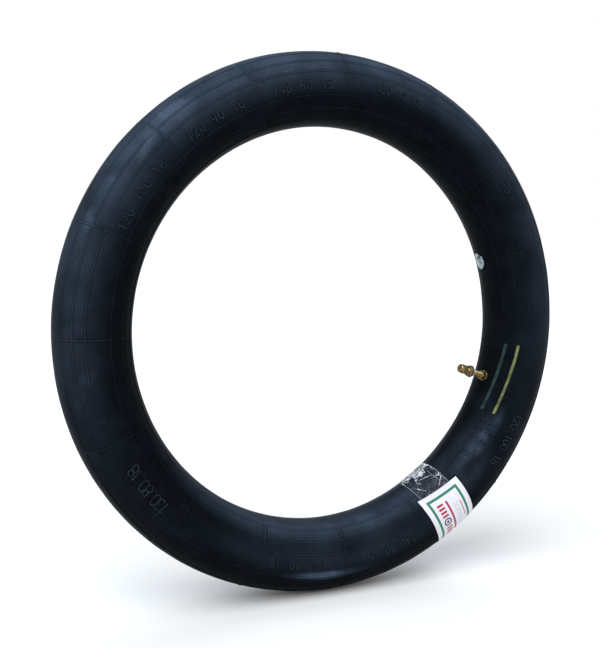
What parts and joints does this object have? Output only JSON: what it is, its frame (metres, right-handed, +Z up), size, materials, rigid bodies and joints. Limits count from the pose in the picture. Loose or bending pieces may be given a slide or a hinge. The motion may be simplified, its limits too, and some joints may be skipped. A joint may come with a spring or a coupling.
{
  "type": "inner tube",
  "caption": "Inflated butyl rubber ring tube for an 18 inch motorcycle rim, with a straight threaded brass valve, nuts, cap and sprung valve core.",
  "frame": {"origin": "centre of the ring", "axes": "+Y along the ring's axis, -Y out of the front sidewall, +Z up with the ring standing on its tread side, the valve 18 degrees below +X"},
  "size_m": [0.5866, 0.0792, 0.5866],
  "materials": {
    "rubber": "butyl rubber with a light dusting of talc",
    "moulded_rubber": "matt moulded rubber",
    "brass": "machined brass",
    "nickel": "nickel-plated, satin",
    "steel": "bare steel",
    "ptfe": "red fluoropolymer",
    "clear_tape": "clear glossy film, wrinkled",
    "paper": "uncoated white paper, printed",
    "yellow_paint": "yellow marking ink, worn",
    "green_paint": "dark green marking ink, faded",
    "foil": "silver foil under a clear dome"
  },
  "bodies": {
    "root": {"tube_shell": "rubber", "valve_patch": "moulded_rubber", "valve_stem": "brass", "core_head": "nickel", "core_gasket": "ptfe", "core_barrel": "brass", "core_spring": "steel", "paper_band": "paper", "clear_tape": "clear_tape", "stripe_yellow": "yellow_paint", "stripe_green": "green_paint", "foil_sticker": "foil"},
    "clamp_washer": {"foot_washer": "brass"},
    "clamp_nut": {"hex_nut": "brass"},
    "rim_washer": {"flat_washer": "nickel"},
    "rim_nut": {"ring_nut": "brass"},
    "cap_disc": {"cap_seal": "moulded_rubber"},
    "cap": {"cap_shell": "brass"},
    "valve_pin": {"core_pin": "steel", "pin_collar": "brass", "core_cup": "brass", "cup_seal": "moulded_rubber"}
  },
  "joints": [
    {"name": "clamp_washer_slide", "type": "slide", "parent": "root", "child": "clamp_washer", "axis": [-0.9303, -0.2079, 0.3023], "range_m": [0, 0.00992]},
    {"name": "clamp_nut_turn", "type": "hinge", "parent": "clamp_washer", "child": "clamp_nut", "pos_m": [0.20529, -0.00816, -0.0667], "axis": [-0.9303, -0.2079, 0.3023], "range_deg": [0, 4500]},
    {"name": "rim_washer_slide", "type": "slide", "parent": "root", "child": "rim_washer", "axis": [-0.9303, -0.2079, 0.3023], "range_m": [-0.00794, 0.00357]},
    {"name": "rim_nut_turn", "type": "hinge", "parent": "rim_washer", "child": "rim_nut", "pos_m": [0.20529, -0.00816, -0.0667], "axis": [-0.9303, -0.2079, 0.3023], "range_deg": [-3600, 1620]},
    {"name": "cap_disc_slide", "type": "slide", "parent": "root", "child": "cap_disc", "axis": [-0.9303, -0.2079, 0.3023], "range_m": [0, 0.00714]},
    {"name": "cap_turn", "type": "hinge", "parent": "cap_disc", "child": "cap", "pos_m": [0.20529, -0.00816, -0.0667], "axis": [-0.9303, -0.2079, 0.3023], "range_deg": [0, 3240]},
    {"name": "valve_pin_press", "type": "slide", "parent": "root", "child": "valve_pin", "axis": [0.9303, 0.2079, -0.3023], "range_m": [0, 0.0015], "stiffness_N_per_m": 800, "springref_m": -0.0015, "deforming": ["core_spring"]}
  ],
  "couplings": [
    {"joint": "clamp_nut_turn", "follows": "clamp_washer_slide", "rad_per_m": 7915.8},
    {"joint": "rim_nut_turn", "follows": "rim_washer_slide", "rad_per_m": 7915.8},
    {"joint": "cap_turn", "follows": "cap_disc_slide", "rad_per_m": 7915.8}
  ]
}
